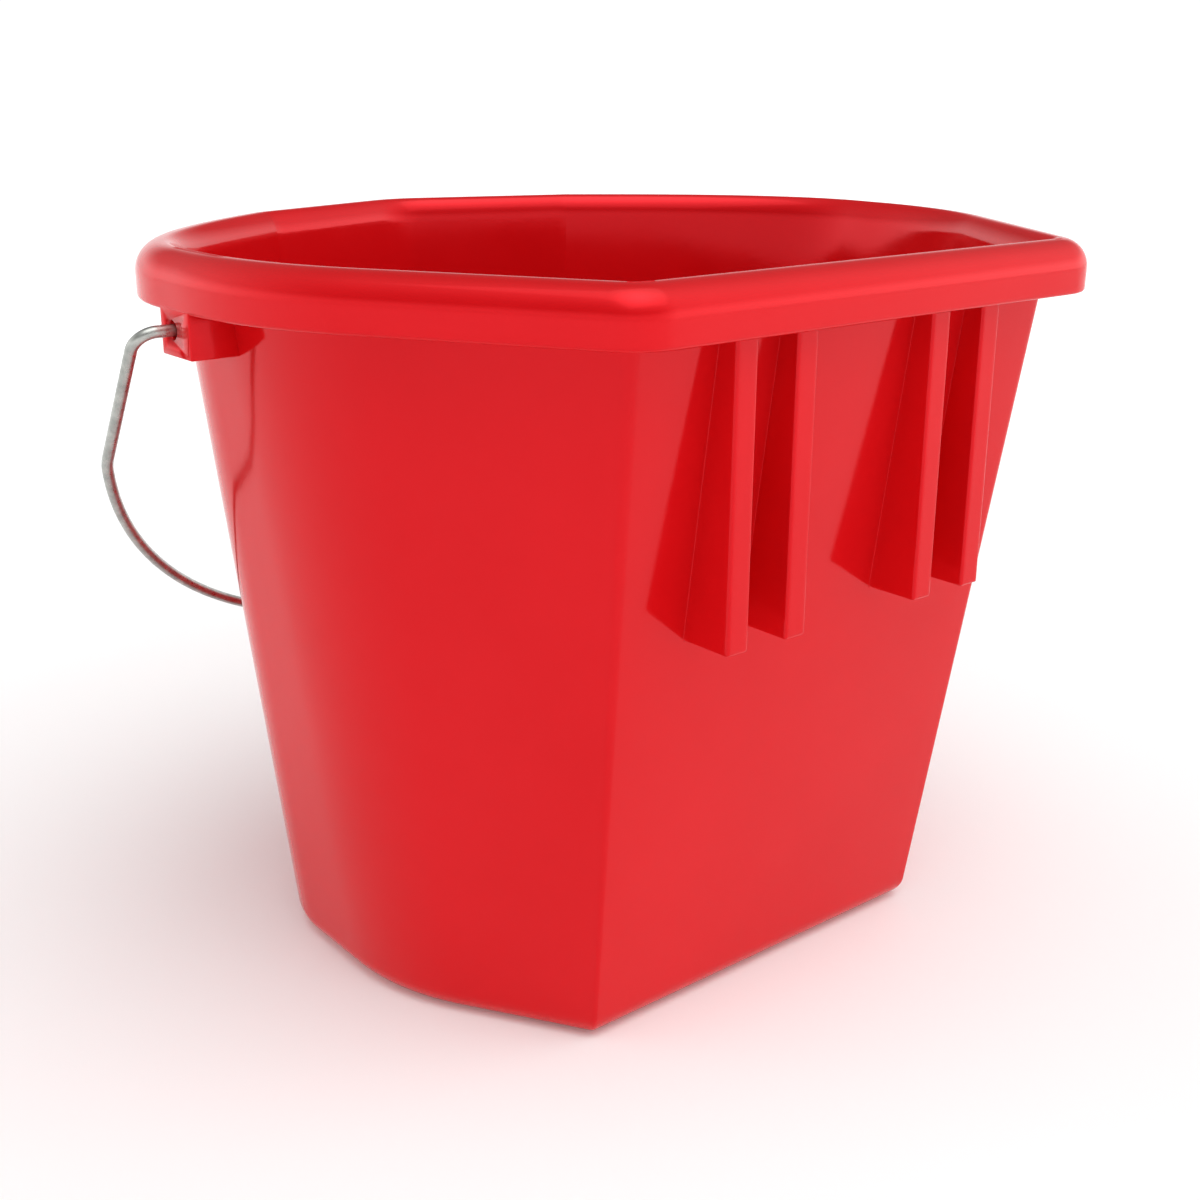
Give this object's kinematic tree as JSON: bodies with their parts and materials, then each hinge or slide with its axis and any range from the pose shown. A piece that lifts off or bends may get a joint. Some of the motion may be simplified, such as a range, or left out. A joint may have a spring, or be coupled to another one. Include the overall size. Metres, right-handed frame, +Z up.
{
  "type": "feed bucket",
  "caption": "Flat-backed plastic feed bucket with a rolled rim, stand-off ribs on its back and a swinging wire bail.",
  "frame": {"origin": "middle of the floor's underside, on the surface the bucket stands on", "axes": "+Z up out of the mouth, +Y out of the flat back, +X across the width, along the bail's pivot axis"},
  "size_m": [0.3724, 0.3023, 0.2714],
  "materials": {
    "red_plastic": "glossy injection-moulded polypropylene",
    "galvanised_wire": "bare galvanised steel wire"
  },
  "bodies": {
    "bucket": {"bucket_floor": "red_plastic", "bucket_wall": "red_plastic", "rolled_rim": "red_plastic", "rim_skirt": "red_plastic", "bail_lug_right": "red_plastic", "bail_lug_left": "red_plastic", "wall_rib_right_outer": "red_plastic", "wall_rib_right_inner": "red_plastic", "wall_rib_left_outer": "red_plastic", "wall_rib_left_inner": "red_plastic"},
    "bail": {"wire_bail": "galvanised_wire"}
  },
  "joints": [
    {"name": "bail_swing", "type": "hinge", "parent": "bucket", "child": "bail", "pos_m": [0, 0.007, 0.2472], "axis": [-1, 0, 0], "range_deg": [0, 277]}
  ]
}
